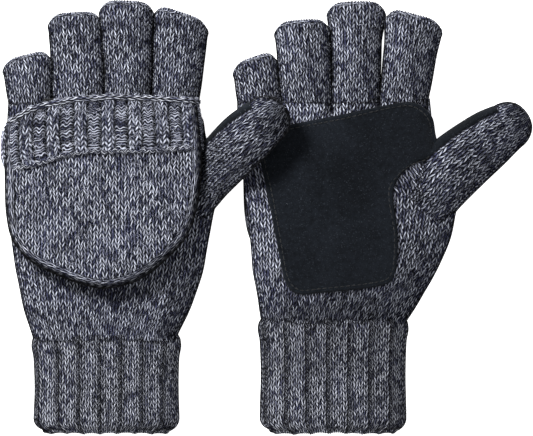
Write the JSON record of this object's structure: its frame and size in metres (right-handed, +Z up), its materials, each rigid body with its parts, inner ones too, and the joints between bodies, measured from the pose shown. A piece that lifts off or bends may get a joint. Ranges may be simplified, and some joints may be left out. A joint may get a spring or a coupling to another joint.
{
  "type": "convertible flip-top mittens",
  "caption": "Pair of knitted half-finger mittens with full thumbs, suede palms, rib cuffs and a lined hood that flips from the back of the hand over the fingers.",
  "frame": {"origin": "centre of the pair's footprint, on the table that it lies on", "axes": "+X from the left mitten to the right one, +Y towards the fingertips, +Z up from the table"},
  "size_m": [0.2942, 0.239, 0.0536],
  "materials": {
    "knit": "marled two-ply stocking stitch",
    "rib": "marled two-ply rib",
    "suede": "brushed black suede",
    "fleece": "brushed fleece",
    "tape": "hook and loop tape",
    "thread": "knitting yarn seam"
  },
  "bodies": {
    "left_hand": {"left_hand_shell": "knit", "left_hand_lining": "fleece", "left_cuff": "rib", "left_little_sleeve": "knit", "left_ring_sleeve": "knit", "left_middle_sleeve": "knit", "left_index_sleeve": "knit", "left_thumb_sleeve": "knit", "left_thumb_patch": "suede", "left_palm_patch": "suede", "left_knuckle_seam": "thread", "left_hook_tab": "tape"},
    "left_hood": {"left_hood_back": "knit", "left_loop_tab": "tape"},
    "left_pocket": {"left_hood_front": "knit", "left_hood_lining": "fleece", "left_rib_band": "rib"},
    "right_hand": {"right_hand_shell": "knit", "right_hand_lining": "fleece", "right_cuff": "rib", "right_little_sleeve": "knit", "right_ring_sleeve": "knit", "right_middle_sleeve": "knit", "right_index_sleeve": "knit", "right_thumb_sleeve": "knit", "right_thumb_patch": "suede", "right_palm_patch": "suede", "right_knuckle_seam": "thread", "right_hook_tab": "tape"},
    "right_hood": {"right_hood_back": "knit", "right_loop_tab": "tape"},
    "right_pocket": {"right_hood_front": "knit", "right_hood_lining": "fleece", "right_rib_band": "rib"}
  },
  "joints": [
    {"name": "mittens_apart", "type": "slide", "parent": "left_hand", "child": "right_hand", "axis": [1, 0, 0], "range_m": [0, 0.08]},
    {"name": "left_hood_flip", "type": "hinge", "parent": "left_hand", "child": "left_hood", "pos_m": [-0.0892, 0.0655, 0.0225], "axis": [-1, 0, 0], "range_deg": [0, 180]},
    {"name": "left_pocket_open", "type": "slide", "parent": "left_hood", "child": "left_pocket", "axis": [0, 0, 1], "range_m": [0, 0.0105], "deforming": ["left_hood_front", "left_hood_lining", "left_rib_band"]},
    {"name": "right_hood_flip", "type": "hinge", "parent": "right_hand", "child": "right_hood", "pos_m": [0.0369, 0.0655, 0.0116], "axis": [1, 0, 0], "range_deg": [0, 180]},
    {"name": "right_pocket_open", "type": "slide", "parent": "right_hood", "child": "right_pocket", "axis": [0, 0, -1], "range_m": [0, 0.0105], "deforming": ["right_hood_front", "right_hood_lining", "right_rib_band"]}
  ],
  "couplings": [
    {"joint": "left_pocket_open", "follows": "left_hood_flip", "m_per_rad": 0.0033},
    {"joint": "right_pocket_open", "follows": "right_hood_flip", "m_per_rad": 0.0033}
  ]
}
